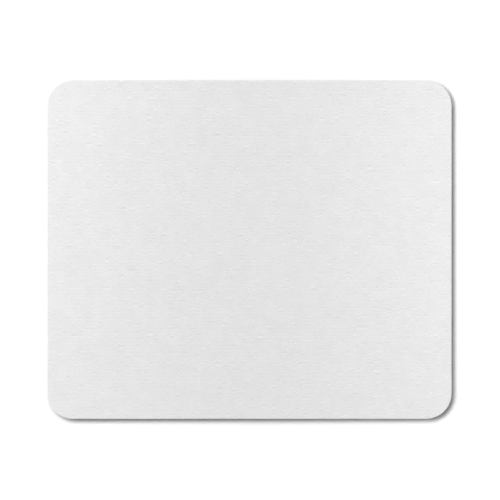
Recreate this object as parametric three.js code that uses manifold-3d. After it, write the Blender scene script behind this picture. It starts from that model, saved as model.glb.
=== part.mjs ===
// A desk mouse pad: knit cloth bonded by a hot-melt film to a foam rubber sheet, then die-cut in one stroke.
// Millimetres, +Z up. The origin is the middle of the underside, where the pad rests on the desk.
// Width runs along X and depth along Y.

import * as THREE from "three";
import { mergeVertices } from "three/addons/utils/BufferGeometryUtils.js";
import Module from "manifold-3d";

const wasm = await Module();
wasm.setup();

// Outline, cut through all three sheets
const PAD_WIDTH = 234.95;
const PAD_DEPTH = 196.85;
const CORNER_RADIUS = 15;

// Foam rubber base
const BASE_THICKNESS = 2.4;
const BASE_CUT_HOLLOW = 0.15; // the foam springs back from the knife, so its cut side is a little hollow

// Ribs moulded across the underside of the base
const RIB_PITCH = 2.5;
const GROOVE_DEPTH = 0.3;
const GROOVE_MOUTH = 1.1;
const GROOVE_FLOOR = 0.6;
const RIB_DIRECTION = Math.PI / 4; // measured from the pad's width

// Hot-melt film
const FILM_THICKNESS = 0.1;
const FILM_SETBACK = 0.1; // the film ends this far inside the cut edge

// Knit cloth face
const CLOTH_THICKNESS = 0.5;
const CLOTH_EDGE_ROUND = 0.3; // the knife presses the cloth's upper edge over

// Flats in each rounded corner, in the cloth's rounded edge and up the hollow side
const CORNER_STEPS = 12;
const EDGE_STEPS = 3;
const HOLLOW_STEPS = 4;
const QUARTER_TURN = Math.PI / 2;

// How far a cutting shape runs past what it cuts
const CUT_OVERRUN = 1;

// The die's outline, drawn in from the cut edge by inset.
function padOutline(inset) {
  const x = PAD_WIDTH / 2 - CORNER_RADIUS;
  const y = PAD_DEPTH / 2 - CORNER_RADIUS;
  const corners = [[x, y], [-x, y], [-x, -y], [x, -y]];
  const outline = new THREE.Shape();
  corners.forEach(([cornerX, cornerY], quarter) => {
    const start = quarter * QUARTER_TURN;
    outline.absarc(cornerX, cornerY, CORNER_RADIUS - inset, start, start + QUARTER_TURN);
  });
  return outline.getPoints(CORNER_STEPS / 2); // an arc gets two flats for each division asked for
}

// A closed sheet whose edge passes through rings of { z, inset }, from the lowest to the highest.
function sheetGeometry(rings) {
  const positions = rings.flatMap(({ z, inset }) => padOutline(inset).flatMap((p) => [p.x, p.y, z]));
  const flat = padOutline(0);
  const count = flat.length;
  const indices = [];
  for (let ring = 0; ring + 1 < rings.length; ring++) {
    for (let i = 0; i < count; i++) {
      const near = ring * count + i;
      const next = ring * count + ((i + 1) % count);
      indices.push(near, next, next + count, near, next + count, near + count);
    }
  }
  const top = (rings.length - 1) * count;
  for (const [a, b, c] of THREE.ShapeUtils.triangulateShape(flat, [])) {
    indices.push(a, c, b, top + a, top + b, top + c);
  }
  const geometry = new THREE.BufferGeometry();
  geometry.setAttribute("position", new THREE.Float32BufferAttribute(positions, 3));
  geometry.setIndex(indices);
  geometry.computeVertexNormals();
  return geometry;
}

function solidFrom(geometry) {
  const bare = geometry.clone();
  bare.deleteAttribute("normal");
  bare.deleteAttribute("uv");
  const merged = mergeVertices(bare);
  return new wasm.Manifold(
    new wasm.Mesh({
      numProp: 3,
      vertProperties: merged.attributes.position.array,
      triVerts: new Uint32Array(merged.index.array),
    }),
  );
}

function geometryFrom(solid) {
  const mesh = solid.getMesh();
  const geometry = new THREE.BufferGeometry();
  geometry.setAttribute("position", new THREE.Float32BufferAttribute(mesh.vertProperties, 3));
  geometry.setIndex(new THREE.Uint32BufferAttribute(mesh.triVerts, 1));
  geometry.computeVertexNormals();
  return geometry;
}

// Everything below the rubber: a plate with one ridge for each groove between two ribs.
// A rib, and not a groove, runs through the middle of the pad, so that the origin lies on rubber.
function grooveComb() {
  const grooves = 2 * Math.ceil(Math.hypot(PAD_WIDTH, PAD_DEPTH) / 2 / RIB_PITCH);
  const reach = (grooves / 2) * RIB_PITCH;
  const comb = new THREE.Shape();
  comb.moveTo(reach, 0);
  for (let groove = 0; groove < grooves; groove++) {
    const middle = reach - (groove + 1 / 2) * RIB_PITCH;
    comb.lineTo(middle + GROOVE_MOUTH / 2, 0);
    comb.lineTo(middle + GROOVE_FLOOR / 2, GROOVE_DEPTH);
    comb.lineTo(middle - GROOVE_FLOOR / 2, GROOVE_DEPTH);
    comb.lineTo(middle - GROOVE_MOUTH / 2, 0);
  }
  comb.lineTo(-reach, 0);
  comb.lineTo(-reach, -2 * CUT_OVERRUN);
  comb.lineTo(reach, -2 * CUT_OVERRUN);
  const geometry = new THREE.ExtrudeGeometry(comb, { depth: 2 * reach, bevelEnabled: false });
  geometry.translate(0, 0, -reach);
  geometry.rotateX(QUARTER_TURN);
  geometry.rotateZ(QUARTER_TURN + RIB_DIRECTION);
  return geometry;
}

function rubberBase() {
  const rings = [{ z: -CUT_OVERRUN, inset: 0 }];
  for (let step = 0; step <= HOLLOW_STEPS; step++) {
    const share = step / HOLLOW_STEPS;
    rings.push({ z: share * BASE_THICKNESS, inset: BASE_CUT_HOLLOW * Math.sin(share * Math.PI) });
  }
  const ribbed = solidFrom(sheetGeometry(rings)).subtract(solidFrom(grooveComb()));
  const rubber = new THREE.MeshStandardMaterial({ color: 0x1c1c1d, roughness: 0.92, metalness: 0 });
  const base = new THREE.Mesh(geometryFrom(ribbed), rubber);
  base.name = "rubber_base";
  return base;
}

function adhesiveFilm() {
  const rings = [0, FILM_THICKNESS].map((z) => ({ z, inset: FILM_SETBACK }));
  const glue = new THREE.MeshStandardMaterial({ color: 0xcfcdc4, roughness: 0.5, metalness: 0 });
  const film = new THREE.Mesh(sheetGeometry(rings), glue);
  film.name = "adhesive_film";
  film.position.z = BASE_THICKNESS;
  return film;
}

function clothFace() {
  const rings = [{ z: 0, inset: 0 }];
  for (let step = 0; step <= EDGE_STEPS; step++) {
    const turn = (step / EDGE_STEPS) * QUARTER_TURN;
    rings.push({
      z: CLOTH_THICKNESS - CLOTH_EDGE_ROUND * (1 - Math.sin(turn)),
      inset: CLOTH_EDGE_ROUND * (1 - Math.cos(turn)),
    });
  }
  const knit = new THREE.MeshStandardMaterial({ color: 0xe8e8e8, roughness: 0.85, metalness: 0 });
  const cloth = new THREE.Mesh(sheetGeometry(rings), knit);
  cloth.name = "cloth_face";
  cloth.position.z = BASE_THICKNESS + FILM_THICKNESS;
  return cloth;
}

const mousePad = new THREE.Group();
mousePad.name = "mouse_pad";
mousePad.add(rubberBase(), adhesiveFilm(), clothFace());

export default mousePad;
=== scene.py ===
"""A white cloth-faced mouse pad: knit cloth, cut yarn ends round it, glue line and foam rubber base.

Lengths are in metres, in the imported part's own frame: X along the width, Y along the depth, and +Z up
from the desk.
"""
import math

import bpy
import numpy as np
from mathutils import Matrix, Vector, noise


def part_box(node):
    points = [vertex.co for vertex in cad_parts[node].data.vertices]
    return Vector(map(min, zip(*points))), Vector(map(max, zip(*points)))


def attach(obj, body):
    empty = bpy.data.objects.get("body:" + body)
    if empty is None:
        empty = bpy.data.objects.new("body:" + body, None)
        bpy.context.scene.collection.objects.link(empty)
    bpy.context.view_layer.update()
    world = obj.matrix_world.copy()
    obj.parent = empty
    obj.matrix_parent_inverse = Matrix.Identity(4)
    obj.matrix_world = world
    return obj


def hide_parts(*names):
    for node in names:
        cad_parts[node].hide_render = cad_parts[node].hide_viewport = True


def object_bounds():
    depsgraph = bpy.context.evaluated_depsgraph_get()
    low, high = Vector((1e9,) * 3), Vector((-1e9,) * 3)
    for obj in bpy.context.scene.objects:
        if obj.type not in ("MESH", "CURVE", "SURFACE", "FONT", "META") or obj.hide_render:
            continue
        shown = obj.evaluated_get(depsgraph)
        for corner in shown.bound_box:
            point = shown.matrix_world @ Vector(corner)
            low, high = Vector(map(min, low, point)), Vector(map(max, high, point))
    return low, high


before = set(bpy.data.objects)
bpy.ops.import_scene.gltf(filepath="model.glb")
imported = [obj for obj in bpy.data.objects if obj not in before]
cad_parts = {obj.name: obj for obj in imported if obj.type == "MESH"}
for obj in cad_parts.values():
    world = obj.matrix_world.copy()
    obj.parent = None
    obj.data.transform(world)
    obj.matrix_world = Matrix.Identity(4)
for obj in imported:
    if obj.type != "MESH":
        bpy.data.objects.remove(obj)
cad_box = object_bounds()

MM = 0.001

# The pad as it was packed
HALF = np.array([cad_box[1].x, cad_box[1].y])
BASE_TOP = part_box("rubber_base")[1].z
FILM_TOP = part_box("adhesive_film")[1].z
CLOTH_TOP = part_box("cloth_face")[1].z

# The die's outline
CORNER_RADIUS = 15 * MM
CORE = HALF - CORNER_RADIUS  # the corners' centres

# The cloth's mesh. A wale is one column of its stitches, and a course is one row.
STITCH = np.array([1.0, 0.82]) * MM
CLOTH_ROUND = 0.2 * MM
CLOTH_ROUND_STEPS = 4
KNIT_SEED = 4
FACE_UNEVENNESS = (  # height, and how many stitches it is smooth over along Y and X
    (0.006 * MM, (0.5, 0.5)),  # from one stitch to the next
    (0.004 * MM, (0.5, 6)),  # streaks along the courses
    (0.02 * MM, (45, 40)),  # slow waves
)
CUT_UNEVEN = 0.025 * MM
CUT_SMOOTHNESS = 1.5  # in stitches
CUT_MIDDLE_SHARE = 1.5  # of the unevenness, halfway down the cut side

# Stitches counted over the flat of the cloth, and the pitch that this gives
FLAT = HALF - CLOTH_ROUND
STITCH_COUNT = 2 * np.round(FLAT / STITCH).astype(int)
STITCH_PITCH = [float(pitch) for pitch in 2 * FLAT / STITCH_COUNT]

# The cloth's own map: its face over the full width at the top, then its edge in rows, then its back
MAP_MARGIN = 0.002
FACE_SHARE = 1 - 2 * MAP_MARGIN
EDGE_ROWS = 4
EDGE_ROW_SHARE = 0.016
BACK_SHARE = 0.05

# The V of one stitch: heights in courses, widths as shares of a wale
V_RISE = 1.1
YARN_FLANK = 0.42
LEG_MIDDLE_SHARE = 0.25
LEG_WIDTH_SHARES = (0.25, 0.08)
LEG_END_SHARE = 0.25

# The cloth's white, and the share of it by which gaps, stitches and patches are lighter or darker. The
# gaps' darkening is painted shade, and the leaning stitches' lighter and darker turns are painted light
# and shade.
KNIT_WHITE = 0.781
GAP_SHADE = 0.05
GAP_OPENNESS = (0.6, 1.4)  # the least and the most of that shade
GAP_HEIGHTS = (0.05, 0.75)  # the yarn's height where a gap is full, and where it ends
STITCH_TINT = 0.012
LEAN_LIGHT_AND_SHADE = 0.10
YARN_TINT = 0.07
CLOUD_TINT = 0.021

# Noise in the cloth: (scale per metre, detail), and the spans of it that count
KNIT_CLOUDS = (160.0, 2.0)
KNIT_PATCHES = (300.0, 1.0)
KNIT_FIBRES = (14000.0, 1.0)
CLOUD_SPAN = (0.25, 0.75)
LEAN_SHADE_SPAN = (0.52, 0.68)
LEAN_SHADE_LEAST = 0.08
UNEVEN_SPAN = (0.62, 0.71)
UNEVEN_STITCHES = 4.0
PAIR_STEP = 7.31  # far enough along the noise for one pair of courses to tell nothing of the next
GATHER_SPAN = (0.42, 0.58)
GATHER_LEAST = 0.2

# The cloth's surface. A bump is (strength, distance).
KNIT_BUMP = (1.0, 0.06 * MM)
FIBRE_RELIEF = 0.25  # of the stitches' own relief
KNIT_ROUGHNESS = (0.95, 0.78)  # in the gaps, and on top of the yarn
KNIT_SPECULAR = 0.2
KNIT_SHEEN = 0.05
KNIT_SHEEN_ROUGHNESS = 0.6

# Cut yarn ends round the cloth: lengths along an end are shares of it, and turns are in radians
YARN_ENDS = 1800
YARN_END_LENGTH = 0.2 * MM
YARN_RADIUS = 0.028 * MM
YARN_SIDES = 5
YARN_END_STEPS = 3
YARN_ROOT = -0.6
YARN_BEND = 0.5
YARN_TIP_RISE = 0.35
YARN_LENGTHS = (0.3, 1.0)
YARN_ROLL = (-3.0, 3.0)
YARN_DROOP = (-0.5, 0.6)
YARN_SWAY = (-0.9, 0.9)
YARN_FILAMENTS = (9000.0, 1.0)  # scale per metre, detail
YARN_WHITES = ((0.70, 0.70, 0.70), (0.84, 0.84, 0.84))
YARN_ROUGHNESS = (0.6, 0.8)
YARN_BUMP = (0.3, 0.01 * MM)

# Glue line
GLUE_SETBACK = 0.1 * MM
GLUE_BULGE = 0.04 * MM
GLUE_SPACING = 0.8 * MM
GLUE_STEPS = 3
GLUE_UNEVEN = 0.03 * MM
GLUE_UNEVEN_MOST = 2  # times GLUE_UNEVEN
GLUE_SMOOTHNESS = 4  # in points of its edge
GLUE_CLOUDS = (900.0, 2.0)  # scale per metre, detail
GLUE_CLOUD_SPAN = (0.2, 0.8)
GLUE_COLOURS = ((0.52, 0.51, 0.46), (0.72, 0.71, 0.67))
GLUE_ROUGHNESS = (0.35, 0.6)
GLUE_BUMP = (0.5, 0.02 * MM)

# Foam rubber base. Its slab starts lower by the overrun, which is cut off with the grooves.
CUT_HOLLOW = 0.15 * MM
SIDE_SPACING = 0.25 * MM
CELL_SIZE = 0.75 * MM
CELL_DEPTH = 0.07 * MM
CELL_SLOPE = 1.6  # the share of its depth that a cell loses in one cell size from its middle
CELL_FADE = 4  # cells fade out at the top and the bottom, each over one part in this many of the height
RIB_PITCH = 2.5 * MM
GROOVE_DEPTH = 0.3 * MM
GROOVE_MOUTH = 1.1 * MM
GROOVE_FLOOR = 0.6 * MM
FLANK_STEPS = 4
RIB_DIRECTION = math.radians(45)
OVERRUN = 1 * MM

# The rubber's surface: a moulded skin underneath, which gives way to foam between two heights
SKIN_ENDS = (0.9 * GROOVE_DEPTH, 1.2 * GROOVE_DEPTH)
SKIN_GRAIN = (2600.0, 3.0)  # scale per metre, detail
SKIN_GRAIN_SPAN = (0.2, 0.8)
SKIN_DUST = (90.0, 4.0)  # scale per metre, detail
SKIN_DUST_SPAN = (0.35, 0.75)
SKIN_BLACKS = ((0.016, 0.016, 0.017), (0.026, 0.026, 0.027))
SKIN_ROUGHNESS = (0.62, 0.82)
FOAM_PORE = 0.32 * MM
FOAM_WALL_SPAN = (0.15, 0.6)
# The foam's black deep in a pore, darkened there as painted shade, and on the walls between pores
FOAM_BLACKS_WITH_PORE_SHADE = ((0.006, 0.006, 0.006), (0.030, 0.030, 0.031))
FOAM_ROUGHNESS = 0.92
RUBBER_BUMP = (0.8, 0.06 * MM)
RUBBER_SPECULAR = 0.35

# Edges that turn by more than this stay sharp
SHARP_ANGLE = math.radians(40)

# The photograph's frame, and the pad's left, top, right and bottom edge in it, in pixels
PHOTO_SIZE = 500
PAD_IN_PHOTO = (47.32, 80.17, 451.68, 418.98)

# The camera in millimetres. Its lens is long, because the photograph shows next to no perspective.
LENS = 300
SENSOR = 36

# Studio: soft key lights from the left, the back and between, and two small spots for the pad's ends
KEYS = (  # name, place, spread in degrees, level
    ("left_key", (-1.14, 0.394, 1.0), 9.0, 0.345),
    ("back_key", (-0.466, 0.849, 1.0), 13.2, 0.3895),
    ("corner_key", (-1.132, 0.937, 1.0), 10.4, 0.297),
)
SPOTS = (  # name, place, aim, cone in degrees, level
    ("left_spot", (-0.758, 0.025, 1.2), (1.045, 0.135, 0.0), 50.4, 1.54),
    ("back_spot", (-0.045, 1.112, 1.2), (-0.943, 0.309, 0.0), 72.4, 2.586),
)
SPOT_RADIUS = 0.05
SKY_LIGHT = 0.3357
FLOOR_HALF = 4.0


def node(tree, kind, sockets=(), **settings):
    """Adds a node. sockets gives its inputs, by name or number, as values or other nodes' outputs."""
    made = tree.nodes.new(kind)
    for name, value in settings.items():
        setattr(made, name, value)
    for key, value in dict(sockets).items():
        if isinstance(value, bpy.types.NodeSocket):
            tree.links.new(value, made.inputs[key])
        else:
            made.inputs[key].default_value = value
    return made


def calc(tree, operation, *values):
    """The result of a Math node."""
    return node(tree, "ShaderNodeMath", enumerate(values), operation=operation).outputs[0]


def total(tree, first, *others):
    """The sum of numbers or outputs."""
    for other in others:
        first = calc(tree, "ADD", first, other)
    return first


def remap(tree, value, low, high, to_low, to_high, shape="LINEAR"):
    """The result of a clamped Map Range node."""
    sockets = {0: value, 1: low, 2: high, 3: to_low, 4: to_high}
    return node(tree, "ShaderNodeMapRange", sockets, interpolation_type=shape).outputs[0]


def vector(tree, x, y, z=0.0):
    """The vector of three numbers or outputs."""
    return node(tree, "ShaderNodeCombineXYZ", {0: x, 1: y, 2: z}).outputs[0]


def parts(tree, value):
    """The three numbers of a vector or colour."""
    return node(tree, "ShaderNodeSeparateXYZ", {0: value}).outputs


def fractal(tree, place, scale, detail, dimensions="3D"):
    """Smooth noise about 0.5."""
    sockets = {"Vector": place, "Scale": scale, "Detail": detail}
    return node(tree, "ShaderNodeTexNoise", sockets, noise_dimensions=dimensions).outputs[0]


def by_turns(tree, count):
    """Half of one for odd whole numbers, and minus that for even ones."""
    return calc(tree, "SUBTRACT", calc(tree, "PINGPONG", count, 1.0), 0.5)


def colour_mix(tree, share, low, high):
    """A colour between two, each given as linear RGB or as an output."""
    low, high = (end if isinstance(end, bpy.types.NodeSocket) else (*end, 1) for end in (low, high))
    return node(tree, "ShaderNodeMix", {0: share, 6: low, 7: high}, data_type="RGBA").outputs[2]


def new_material(name):
    """A bare material, its tree, its shader and the object coordinates."""
    material = bpy.data.materials.new(name)
    material.use_nodes = True
    tree = material.node_tree
    shader = tree.nodes["Principled BSDF"]
    place = node(tree, "ShaderNodeTexCoord").outputs["Object"]
    return material, tree, shader, place


def set_surface(tree, shader, colour, roughness, relief, bump):
    """Links a colour, a roughness and a bump, given as strength and distance, to the shader."""
    tree.links.new(colour, shader.inputs["Base Color"])
    tree.links.new(roughness, shader.inputs["Roughness"])
    strength, distance = bump
    sockets = {"Height": relief, "Strength": strength, "Distance": distance}
    tree.links.new(node(tree, "ShaderNodeBump", sockets).outputs[0], shader.inputs["Normal"])


def knit_material():
    """White jersey: V-shaped stitches with painted shade in their gaps, and here and there painted
    lighter and darker by turns, as light and shade of leaning stitches, or of uneven yarn.
    """
    material, tree, shader, place = new_material("white_jersey_knit")
    x, y, _ = parts(tree, place)
    across = calc(tree, "DIVIDE", x, STITCH_PITCH[0])
    wale = calc(tree, "FLOOR", across)
    off_middle = calc(tree, "ABSOLUTE", calc(tree, "SUBTRACT", calc(tree, "FRACT", across), 0.5))
    along = calc(tree, "MULTIPLY_ADD", off_middle, V_RISE, calc(tree, "DIVIDE", y, STITCH_PITCH[1]))
    course = calc(tree, "FLOOR", along)

    yarn = calc(tree, "PINGPONG", along, 0.5)
    yarn = remap(tree, yarn, 0.0, YARN_FLANK, 0.0, 1.0, "SMOOTHSTEP")
    leg = calc(tree, "ABSOLUTE", calc(tree, "SUBTRACT", off_middle, LEG_MIDDLE_SHARE))
    leg = remap(tree, leg, *LEG_WIDTH_SHARES, LEG_END_SHARE, 1.0, "SMOOTHSTEP")
    height = calc(tree, "MULTIPLY", yarn, leg)

    sockets = {"Vector": vector(tree, wale, course)}
    stitch = node(tree, "ShaderNodeTexWhiteNoise", sockets, noise_dimensions="2D")
    shade, openness, _ = parts(tree, stitch.outputs["Color"])
    shade = remap(tree, shade, 0.0, 1.0, -STITCH_TINT, STITCH_TINT)
    # Painted shade: the gaps between the yarn are darkened in the colour, deeper where a stitch is more
    # open
    gap_shade = remap(tree, openness, 0.0, 1.0, *(-share * GAP_SHADE for share in GAP_OPENNESS))
    gap = calc(tree, "MULTIPLY", remap(tree, height, *GAP_HEIGHTS, 1.0, 0.0), gap_shade)

    # Painted light and shade: in patches, stitches leaning by turns are lighter and darker in the
    # colour, as the light falls on them
    patch = fractal(tree, place, *KNIT_PATCHES)
    lean_light_and_shade = remap(tree, patch, *LEAN_SHADE_SPAN, 2 * LEAN_LIGHT_AND_SHADE * LEAN_SHADE_LEAST, 2 * LEAN_LIGHT_AND_SHADE)
    lean_light_and_shade = calc(tree, "MULTIPLY", lean_light_and_shade, by_turns(tree, calc(tree, "ADD", wale, course)))

    # Two courses share a stretch of uneven yarn: one is thick and light, the other thin and dark
    pair = calc(tree, "FLOOR", calc(tree, "DIVIDE", course, 2.0))
    pair = calc(tree, "MULTIPLY", pair, PAIR_STEP)
    run = vector(tree, calc(tree, "DIVIDE", across, UNEVEN_STITCHES), pair)
    stretch = fractal(tree, run, scale=1.0, detail=1.0, dimensions="2D")
    thick = remap(tree, stretch, *UNEVEN_SPAN, 0.0, 2 * YARN_TINT)
    thin = remap(tree, stretch, *(1 - edge for edge in UNEVEN_SPAN), 0.0, 2 * YARN_TINT)
    uneven = calc(tree, "MULTIPLY", calc(tree, "SUBTRACT", thick, thin), by_turns(tree, course))
    gathered = remap(tree, patch, *GATHER_SPAN, GATHER_LEAST, 1.0)
    uneven = calc(tree, "MULTIPLY", uneven, gathered)

    cloud = fractal(tree, place, *KNIT_CLOUDS)
    cloud = remap(tree, cloud, *CLOUD_SPAN, -CLOUD_TINT, CLOUD_TINT)
    white = total(tree, 1.0, shade, lean_light_and_shade, uneven, cloud, gap)
    white = calc(tree, "MULTIPLY", white, KNIT_WHITE)
    roughness = remap(tree, height, 0.0, 1.0, *KNIT_ROUGHNESS)
    fibres = fractal(tree, place, *KNIT_FIBRES)
    relief = calc(tree, "MULTIPLY_ADD", fibres, FIBRE_RELIEF, height)
    set_surface(tree, shader, white, roughness, relief, KNIT_BUMP)
    shader.inputs["Specular IOR Level"].default_value = KNIT_SPECULAR
    shader.inputs["Sheen Weight"].default_value = KNIT_SHEEN
    shader.inputs["Sheen Roughness"].default_value = KNIT_SHEEN_ROUGHNESS
    return material


def yarn_material():
    """The cut yarn ends: the same white polyester, seen as loose filaments."""
    material, tree, shader, place = new_material("white_polyester_yarn")
    fibre = fractal(tree, place, *YARN_FILAMENTS)
    colour = colour_mix(tree, fibre, *YARN_WHITES)
    roughness = remap(tree, fibre, 0.0, 1.0, *YARN_ROUGHNESS)
    set_surface(tree, shader, colour, roughness, fibre, YARN_BUMP)
    return material


def glue_material():
    """Hot-melt film, milky where it has run between the stitches."""
    material, tree, shader, place = new_material("milky_hot_melt_film")
    cloud = fractal(tree, place, *GLUE_CLOUDS)
    colour = colour_mix(tree, cloud, *GLUE_COLOURS)
    roughness = remap(tree, cloud, *GLUE_CLOUD_SPAN, *GLUE_ROUGHNESS)
    set_surface(tree, shader, colour, roughness, cloud, GLUE_BUMP)
    return material


def rubber_material():
    """Black foam rubber: open cells on the cut side, painted darker deep in them as shade, and a moulded
    skin on the ribs underneath.
    """
    material, tree, shader, place = new_material("black_foam_rubber")
    cut = remap(tree, parts(tree, place)[2], *SKIN_ENDS, 0.0, 1.0, "SMOOTHSTEP")
    sockets = {"Vector": place, "Scale": 1 / FOAM_PORE}
    pore = node(tree, "ShaderNodeTexVoronoi", sockets).outputs["Distance"]
    wall_and_pore_shade = remap(tree, pore, *FOAM_WALL_SPAN, 0.0, 1.0, "SMOOTHSTEP")
    grain = fractal(tree, place, *SKIN_GRAIN)
    dust = remap(tree, fractal(tree, place, *SKIN_DUST), *SKIN_DUST_SPAN, 0.0, 1.0)
    skin = colour_mix(tree, dust, *SKIN_BLACKS)
    # Painted shade: the foam is darker deep in its pores and lighter on the walls between them
    foam = colour_mix(tree, wall_and_pore_shade, *FOAM_BLACKS_WITH_PORE_SHADE)
    colour = colour_mix(tree, cut, skin, foam)
    roughness = remap(tree, grain, *SKIN_GRAIN_SPAN, *SKIN_ROUGHNESS)
    roughness = calc(tree, "MAXIMUM", roughness, calc(tree, "MULTIPLY", cut, FOAM_ROUGHNESS))
    relief = node(tree, "ShaderNodeMix", {0: cut, 2: grain, 3: wall_and_pore_shade}).outputs[0]
    set_surface(tree, shader, colour, roughness, relief, RUBBER_BUMP)
    shader.inputs["Specular IOR Level"].default_value = RUBBER_SPECULAR
    return material


def outline(spacing):
    """Points round the die-cut edge, anticlockwise from above, at about this spacing."""
    steps = math.ceil(CORNER_RADIUS * math.pi / 2 / spacing)
    signs = ((1, 1), (-1, 1), (-1, -1), (1, -1))
    loop = []
    for quarter, (sign, after) in enumerate(zip(signs, signs[1:] + signs[:1])):
        turn = (quarter + np.arange(steps) / steps) * math.pi / 2
        loop.append(CORE * sign + CORNER_RADIUS * np.stack([np.cos(turn), np.sin(turn)], 1))
        turn = (quarter + 1) * math.pi / 2
        edge = CORNER_RADIUS * np.array([math.cos(turn), math.sin(turn)])
        start, end = CORE * sign + edge, CORE * after + edge
        along = math.ceil(np.linalg.norm(end - start) / spacing)
        loop.append(start + (end - start) * (np.arange(along) / along)[:, None])
    return np.concatenate(loop)


def edge_rings(loop, insets, heights):
    """The loop of an edge carried through rings: insets and heights have a row for each ring."""
    anchor = np.clip(loop, -CORE, CORE)
    outward = loop - anchor
    outward /= np.linalg.norm(outward, axis=1)[:, None]
    rings = []
    for inset, height in zip(insets, heights):
        flat = anchor + outward * (CORNER_RADIUS - np.broadcast_to(inset, len(loop)))[:, None]
        rings.append(np.column_stack([flat, np.broadcast_to(height, len(loop))]))
    return rings


def band_faces(lower, upper):
    """Quads between two closed circles of vertex numbers, facing outwards."""
    return np.column_stack([lower, np.roll(lower, -1), np.roll(upper, -1), upper]).tolist()


def new_piece(name, vertices, faces, material, edges=()):
    """A mesh object at the origin."""
    mesh = bpy.data.meshes.new(name)
    mesh.from_pydata(vertices, edges, faces)
    mesh.materials.append(material)
    mesh.validate()
    piece = bpy.data.objects.new(name, mesh)
    bpy.context.scene.collection.objects.link(piece)
    return piece


def smooth(piece):
    """Shades a piece smooth but for its sharp edges."""
    piece.data.shade_smooth()
    piece.data.set_sharp_from_angle(angle=SHARP_ANGLE)
    return piece


def smooth_noise(shape, lengths, rng):
    """Noise of unit deviation, smooth over these lengths, given in samples along each axis."""
    spectrum = np.fft.fftn(rng.normal(size=shape))
    for axis, length in enumerate(lengths):
        share = np.exp(-((np.fft.fftfreq(shape[axis]) * length) ** 2) * 2)
        spectrum *= share.reshape([-1 if i == axis else 1 for i in range(len(shape))])
    found = np.fft.ifftn(spectrum).real
    return (found - found.mean()) / found.std()


def into_corners(points, radius):
    """Draws the points of a sharp-cornered rectangle into the die's rounded corners."""
    beyond = np.maximum(np.abs(points) - CORE, 0) / radius
    turned = beyond * np.sqrt(1 - beyond[..., ::-1] ** 2 / 2)
    return np.sign(points) * (np.minimum(np.abs(points), CORE) + radius * turned)


def knit_cloth(material):
    """The cloth: one vertex to a stitch over its face, a rolled upper edge and a plain back."""
    rng = np.random.default_rng(KNIT_SEED)
    across, along = STITCH_COUNT + 1
    x = np.linspace(-FLAT[0], FLAT[0], across)
    y = np.linspace(-FLAT[1], FLAT[1], along)
    face = np.stack(np.meshgrid(x, y), -1)
    face = into_corners(face, CORNER_RADIUS - CLOTH_ROUND).reshape(-1, 2)
    relief = np.zeros((along, across))
    for height, lengths in FACE_UNEVENNESS:
        relief += height * smooth_noise(relief.shape, lengths, rng)
    relief = (relief - relief.max()).ravel()
    number = np.arange(across * along).reshape(along, across)
    quads = [number[:-1, :-1], number[:-1, 1:], number[1:, 1:], number[1:, :-1]]
    quads = np.stack(quads, -1).reshape(-1, 4)
    rim = np.concatenate([number[0, :-1], number[:-1, -1], number[-1, :0:-1], number[:0:-1, 0]])

    turn = np.linspace(0, math.pi / 2, CLOTH_ROUND_STEPS + 1)[1:]
    frayed = np.abs(CUT_UNEVEN * smooth_noise(rim.shape, (CUT_SMOOTHNESS,), rng))
    insets = [CLOTH_ROUND * (1 - math.sin(t)) + frayed * t for t in turn]
    insets += [frayed * CUT_MIDDLE_SHARE, 0 * frayed]
    heights = [CLOTH_TOP - CLOTH_ROUND * (1 - math.cos(t)) + relief[rim] * math.cos(t) for t in turn]
    heights += [(CLOTH_TOP - CLOTH_ROUND + FILM_TOP) / 2, FILM_TOP]
    rings = edge_rings(face[rim], insets, heights)
    vertices = np.concatenate([np.column_stack([face, CLOTH_TOP + relief]), *rings])

    circles = [rim]
    circles += [len(face) + ring * len(rim) + np.arange(len(rim)) for ring in range(len(rings))]
    back = circles[-1][::-1]
    faces = quads.tolist()
    for upper, lower in zip(circles, circles[1:]):
        faces += band_faces(lower, upper)
    faces.append(back.tolist())
    cloth = smooth(new_piece("knit_cloth", vertices, faces, material))

    corners = [on_face_map(face[quads.ravel()])]
    corners += [on_edge_map(len(rim), ring, len(rings)) for ring in range(len(rings))]
    corners.append(on_back_map(vertices[back, :2]))
    layer = cloth.data.uv_layers.new(name="OFBake")
    layer.uv.foreach_set("vector", np.concatenate(corners).astype(np.float32).ravel())
    return cloth


def on_face_map(points):
    """The face's points on the map, seen from above."""
    flat = (points + HALF) / (2 * HALF[0]) * FACE_SHARE
    up = flat[:, 1] + 1 - MAP_MARGIN - HALF[1] / HALF[0] * FACE_SHARE
    return np.column_stack([flat[:, 0] + MAP_MARGIN, up])


def on_edge_map(count, ring, rings):
    """The corners of one ring of edge faces on the map, a quarter of the way round to a row."""
    quarter = count // EDGE_ROWS
    row = np.minimum(np.arange(count) // quarter, EDGE_ROWS - 1)
    longest = count - quarter * (EDGE_ROWS - 1)
    left = (np.arange(count) - row * quarter) / longest * FACE_SHARE + MAP_MARGIN
    step = FACE_SHARE / longest
    low = row * (EDGE_ROW_SHARE + MAP_MARGIN) + MAP_MARGIN
    upper = low + EDGE_ROW_SHARE * (1 - ring / rings)
    lower = low + EDGE_ROW_SHARE * (1 - (ring + 1) / rings)
    corners = [(left, lower), (left + step, lower), (left + step, upper), (left, upper)]
    return np.stack([np.stack(corner, 1) for corner in corners], 1).reshape(-1, 2)


def on_back_map(points):
    """The back's points on the map, seen from above and small."""
    low = EDGE_ROWS * (EDGE_ROW_SHARE + MAP_MARGIN) + MAP_MARGIN
    return (points + HALF) / (2 * HALF[0]) * BACK_SHARE + (MAP_MARGIN, low)


def closed_sheet(name, rings, material):
    """A closed sheet between the first ring, its lowest, and the last."""
    count = len(rings[0])
    circles = [ring * count + np.arange(count) for ring in range(len(rings))]
    faces = [circles[0][::-1].tolist()]
    for lower, upper in zip(circles, circles[1:]):
        faces += band_faces(lower, upper)
    faces.append(circles[-1].tolist())
    return new_piece(name, np.concatenate(rings), faces, material)


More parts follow.
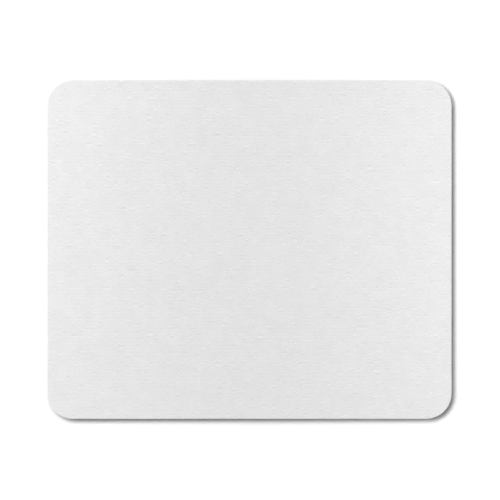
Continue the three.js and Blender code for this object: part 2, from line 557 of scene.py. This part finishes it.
def glue_line(material):
    """The hot-melt film, squeezed out a little unevenly between cloth and rubber."""
    rng = np.random.default_rng(KNIT_SEED + 1)
    loop = outline(GLUE_SPACING)
    uneven = smooth_noise((len(loop),), (GLUE_SMOOTHNESS,), rng)
    setback = GLUE_SETBACK + GLUE_UNEVEN * uneven.clip(-GLUE_UNEVEN_MOST, GLUE_UNEVEN_MOST)
    shares = np.linspace(0, 1, GLUE_STEPS + 1)
    insets = [setback - GLUE_BULGE * math.sin(math.pi * share) for share in shares]
    heights = [BASE_TOP + (FILM_TOP - BASE_TOP) * share for share in shares]
    return smooth(closed_sheet("glue_line", edge_rings(loop, insets, heights), material))


def foam_slab(material):
    """The rubber sheet before its ribs: a hollow cut side with open cells."""
    loop = outline(SIDE_SPACING)
    steps = round(BASE_TOP / SIDE_SPACING)
    insets, heights = [0.0], [-OVERRUN]
    for step in range(steps + 1):
        share = step / steps
        height = share * BASE_TOP
        hollow = CUT_HOLLOW * math.sin(math.pi * share)
        near = [noise.voronoi(Vector((x, y, height)) / CELL_SIZE)[0][0] for x, y in loop]
        fade = min(1, CELL_FADE * share, CELL_FADE * (1 - share))
        cells = CELL_DEPTH * np.clip(1 - np.array(near) * CELL_SLOPE, 0, 1) * fade
        insets.append(hollow + cells)
        heights.append(height)
    return closed_sheet("foam_base", edge_rings(loop, insets, heights), material)


def new_tree(name, inputs):
    """A geometry tree with named inputs of these kinds, its inputs' values and its output."""
    tree = bpy.data.node_groups.new(name, "GeometryNodeTree")
    tree.interface.new_socket("Geometry", in_out="OUTPUT", socket_type="NodeSocketGeometry")
    tree.interface.new_socket("Geometry", in_out="INPUT", socket_type="NodeSocketGeometry")
    for label, kind in inputs.items():
        tree.interface.new_socket(label, in_out="INPUT", socket_type="NodeSocket" + kind)
    return tree, node(tree, "NodeGroupInput").outputs, node(tree, "NodeGroupOutput").inputs


def end_tree(tree, geometry, given, result):
    """Ends a geometry tree in plain, finished meshes."""
    solid = node(tree, "GeometryNodeRealizeInstances", {0: geometry})
    sockets = {0: solid.outputs[0], "Material": given["Material"]}
    finished = node(tree, "GeometryNodeSetMaterial", sockets)
    tree.links.new(finished.outputs[0], result[0])
    return tree


def grow(piece, tree, values):
    """Runs a geometry tree with these values on the piece, and leaves the result as its plain mesh."""
    modifier = piece.modifiers.new(tree.name, "NODES")
    modifier.node_group = tree
    for item in tree.interface.items_tree:
        if item.in_out == "INPUT" and item.name in values:
            modifier[item.identifier] = values[item.name]
    bpy.context.view_layer.update()
    evaluated = piece.evaluated_get(bpy.context.evaluated_depsgraph_get())
    mesh = bpy.data.meshes.new_from_object(evaluated)
    piece.modifiers.remove(modifier)
    piece.data = mesh
    mesh.name = piece.name
    return piece


def grip_grooves():
    """Cuts off the slab below its ribbed underside, by a plate with one ridge for each groove."""
    tree, given, result = new_tree("grip_grooves", {
        "Grooves": "Int", "Rib Pitch": "Float", "Groove Mouth": "Float", "Groove Floor": "Float",
        "Groove Depth": "Float", "Rib Direction": "Float", "Overrun": "Float", "Material": "Material"})
    pitch, mouth, floor = given["Rib Pitch"], given["Groove Mouth"], given["Groove Floor"]
    reach = calc(tree, "MULTIPLY", given["Grooves"], pitch)
    steps = 2.0 * (FLANK_STEPS + 2)
    rows = calc(tree, "MULTIPLY_ADD", given["Grooves"], steps, 1.0)
    thick = calc(tree, "MULTIPLY", given["Overrun"], 2.0)
    plate = node(tree, "GeometryNodeMeshCube", {
        "Size": vector(tree, reach, reach, thick), "Vertices X": 2, "Vertices Y": rows, "Vertices Z": 2})
    x, y, z = parts(tree, node(tree, "GeometryNodeInputPosition").outputs[0])

    # The rows of half a groove: half its floor, then the steps of its flank, then half the rib beside it
    turns = calc(tree, "DIVIDE", y, pitch)
    groove = calc(tree, "ADD", calc(tree, "FLOOR", turns), 0.5)
    side = calc(tree, "SUBTRACT", turns, groove)
    row = calc(tree, "MULTIPLY", calc(tree, "ABSOLUTE", side), steps)
    off = calc(tree, "MULTIPLY", remap(tree, row, 0.0, 1.0, 0.0, 0.5), floor)
    flank = remap(tree, row, 1.0, FLANK_STEPS + 1.0, 0.0, 0.5)
    off = calc(tree, "MULTIPLY_ADD", flank, calc(tree, "SUBTRACT", mouth, floor), off)
    land = remap(tree, row, FLANK_STEPS + 1.0, FLANK_STEPS + 2.0, 0.0, 0.5)
    off = calc(tree, "MULTIPLY_ADD", land, calc(tree, "SUBTRACT", pitch, mouth), off)
    off = calc(tree, "MULTIPLY", off, calc(tree, "SIGN", side))
    new_y = calc(tree, "MULTIPLY_ADD", groove, pitch, off)
    rise = remap(tree, row, 1.0, FLANK_STEPS + 1.0, 1.0, 0.0, "SMOOTHSTEP")
    ridge = calc(tree, "MULTIPLY", rise, given["Groove Depth"])
    upper = calc(tree, "GREATER_THAN", z, 0.0)
    under = calc(tree, "MULTIPLY", calc(tree, "SUBTRACT", upper, 1.0), thick)
    new_z = calc(tree, "MULTIPLY_ADD", upper, ridge, under)

    sockets = {"Geometry": plate.outputs[0], "Position": vector(tree, x, new_y, new_z)}
    comb = node(tree, "GeometryNodeSetPosition", sockets)
    sockets = {"Geometry": comb.outputs[0], "Rotation": vector(tree, 0.0, 0.0, given["Rib Direction"])}
    turned = node(tree, "GeometryNodeTransform", sockets)
    sockets = {0: given["Geometry"], 1: turned.outputs[0]}
    cut = node(tree, "GeometryNodeMeshBoolean", sockets, operation="DIFFERENCE", solver="MANIFOLD")
    return end_tree(tree, cut.outputs[0], given, result)


def yarn_end_tree():
    """Short bent yarn ends set along a closed path, pointing out from it."""
    tree, given, result = new_tree("cut_yarn_ends", {
        "Ends": "Int", "End Length": "Float", "Yarn Radius": "Float", "Cloth Thickness": "Float",
        "Seed": "Int", "Material": "Material"})
    path = node(tree, "GeometryNodeMeshToCurve", {0: given["Geometry"]})
    sockets = {0: path.outputs[0], "Count": given["Ends"]}
    points = node(tree, "GeometryNodeCurveToPoints", sockets, mode="COUNT")

    def random(span, draw):
        """One number in the span for each end, another for each draw."""
        sockets = {2: span[0], 3: span[1], 8: calc(tree, "ADD", given["Seed"], draw)}
        return node(tree, "FunctionNodeRandomValue", sockets, data_type="FLOAT").outputs[1]

    lift = calc(tree, "MULTIPLY", given["Cloth Thickness"], random((-0.5, 0.5), draw=1))
    sockets = {0: points.outputs[0], "Offset": vector(tree, 0.0, 0.0, lift)}
    spread = node(tree, "GeometryNodeSetPosition", sockets)
    sockets = {0: points.outputs["Tangent"], 1: (0, 0, 1)}
    outward = node(tree, "ShaderNodeVectorMath", sockets, operation="CROSS_PRODUCT").outputs[0]
    sockets = {"Vector": outward}
    facing = node(tree, "FunctionNodeAlignRotationToVector", sockets, axis="X", pivot_axis="Z")
    turns = vector(
        tree, random(YARN_ROLL, draw=2), random(YARN_DROOP, draw=3), random(YARN_SWAY, draw=4))
    bent = node(tree, "FunctionNodeEulerToRotation", {0: turns})
    sockets = {"Rotation": facing.outputs[0], "Rotate By": bent.outputs[0]}
    turned = node(tree, "FunctionNodeRotateRotation", sockets, rotation_space="LOCAL")

    length = given["End Length"]
    shares = (YARN_ROOT, YARN_BEND, YARN_TIP_RISE)
    root, bend, rise = (calc(tree, "MULTIPLY", length, share) for share in shares)
    stem = node(tree, "GeometryNodeCurveQuadraticBezier", {
        "Resolution": YARN_END_STEPS, "Start": vector(tree, root, 0.0),
        "Middle": vector(tree, bend, 0.0), "End": vector(tree, length, rise)})
    sockets = {"Resolution": YARN_SIDES, "Radius": given["Yarn Radius"]}
    section = node(tree, "GeometryNodeCurvePrimitiveCircle", sockets)
    sockets = {0: stem.outputs[0], 1: section.outputs[0], "Fill Caps": True}
    end = node(tree, "GeometryNodeCurveToMesh", sockets)
    copies = node(tree, "GeometryNodeInstanceOnPoints", {
        "Points": spread.outputs[0], "Instance": end.outputs[0], "Rotation": turned.outputs[0],
        "Scale": vector(tree, random(YARN_LENGTHS, draw=5), 1.0, 1.0)})
    return end_tree(tree, copies.outputs[0], given, result)


def foam_base(material):
    """The rubber base: the die-cut slab with its grip grooves."""
    reach = float(np.hypot(*HALF))
    return smooth(grow(foam_slab(material), grip_grooves(), {
        "Grooves": 2 * math.ceil(reach / RIB_PITCH), "Rib Pitch": RIB_PITCH,
        "Groove Mouth": GROOVE_MOUTH, "Groove Floor": GROOVE_FLOOR, "Groove Depth": GROOVE_DEPTH,
        "Rib Direction": RIB_DIRECTION, "Overrun": 2 * OVERRUN, "Material": material}))


def cut_yarn_ends(material):
    """The frayed yarn ends round the cloth's cut edge."""
    loop = outline(GLUE_SPACING)
    side_top = CLOTH_TOP - CLOTH_ROUND
    path = np.column_stack([loop, np.full(len(loop), (FILM_TOP + side_top) / 2)])
    here = np.arange(len(loop))
    edges = np.column_stack([here, np.roll(here, -1)]).tolist()
    return grow(new_piece("cut_yarn_ends", path, [], material, edges), yarn_end_tree(), {
        "Ends": YARN_ENDS, "End Length": YARN_END_LENGTH, "Yarn Radius": YARN_RADIUS,
        "Cloth Thickness": side_top - FILM_TOP - 2 * YARN_RADIUS, "Seed": KNIT_SEED,
        "Material": material})


def ray_share(tree):
    """1 for camera, glossy and transmission rays, which see the backdrop, and 0 for the rest."""
    ray = node(tree, "ShaderNodeLightPath").outputs
    share = calc(tree, "MAXIMUM", ray["Is Camera Ray"], ray["Is Glossy Ray"])
    return calc(tree, "MAXIMUM", share, ray["Is Transmission Ray"])


def white_floor():
    """A plain white floor that keeps the pad's shadow."""
    material = bpy.data.materials.new("white_floor")
    material.use_nodes = True
    tree = material.node_tree
    tree.nodes.clear()
    matt = node(tree, "ShaderNodeBsdfDiffuse", {"Color": (1, 1, 1, 1)})
    node(tree, "ShaderNodeOutputMaterial", {"Surface": matt.outputs[0]})
    corners = [(x * FLOOR_HALF, y * FLOOR_HALF, 0) for x, y in ((-1, -1), (1, -1), (1, 1), (-1, 1))]
    new_piece("floor", corners, [(0, 1, 2, 3)], material)


def white_world():
    """A world that lights softly and shows white behind the floor."""
    world = bpy.data.worlds.new("white_studio")
    bpy.context.scene.world = world
    world.use_nodes = True
    tree = world.node_tree
    back = tree.nodes["Background"]
    back.inputs["Color"].default_value = (1, 1, 1, 1)
    tree.links.new(remap(tree, ray_share(tree), 0.0, 1.0, SKY_LIGHT, 1.0), back.inputs["Strength"])


def new_lamp(name, kind, place, aim, energy):
    """A lamp at a place, turned to its aim."""
    data = bpy.data.lights.new(name, kind)
    data.energy = energy
    lamp = bpy.data.objects.new(name, data)
    lamp.location = place
    lamp.rotation_euler = (Vector(aim) - Vector(place)).to_track_quat("-Z", "Y").to_euler()
    bpy.context.scene.collection.objects.link(lamp)
    return data


def studio_lights():
    """The keys and the spots.

    At level 1 a key makes a white desk below it fully white, and so does a spot a metre above it.
    """
    for name, place, spread, level in KEYS:
        key = new_lamp(name, "SUN", place, (0, 0, 0), math.pi * level)
        key.angle = math.radians(2 * spread)
    for name, place, aim, cone, level in SPOTS:
        spot = new_lamp(name, "SPOT", place, aim, 4 * math.pi**2 * level)
        spot.spot_size = math.radians(cone)
        spot.spot_blend = 1
        spot.shadow_soft_size = SPOT_RADIUS


def photo_camera():
    """Straight above the pad, with the pad where the photograph has it."""
    left, top, right, bottom = PAD_IN_PHOTO
    pixel = 2 * HALF[0] / (right - left)
    x = (PHOTO_SIZE - left - right) / 2 * pixel
    y = (top + bottom - PHOTO_SIZE) / 2 * pixel
    data = bpy.data.cameras.new("photo_camera")
    data.lens = LENS
    data.sensor_width = SENSOR
    camera = bpy.data.objects.new("photo_camera", data)
    camera.location = (x, y, CLOTH_TOP + PHOTO_SIZE * pixel * LENS / SENSOR)
    bpy.context.scene.collection.objects.link(camera)
    bpy.context.scene.camera = camera


photo_camera()
cloth = knit_cloth(knit_material())
ends = cut_yarn_ends(yarn_material())
glue = glue_line(glue_material())
base = foam_base(rubber_material())

for piece, slot, replaced in (
    (cloth, "white_polyester_knit", ["cloth_face"]),
    (ends, "white_polyester_knit", []),
    (glue, "hot_melt_film", ["adhesive_film"]),
    (base, "foam_rubber", ["rubber_base"]),
):
    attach(piece, "root")
    if replaced:
        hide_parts(*replaced)

white_floor()
white_world()
studio_lights()
bpy.context.scene.view_settings.view_transform = "Standard"
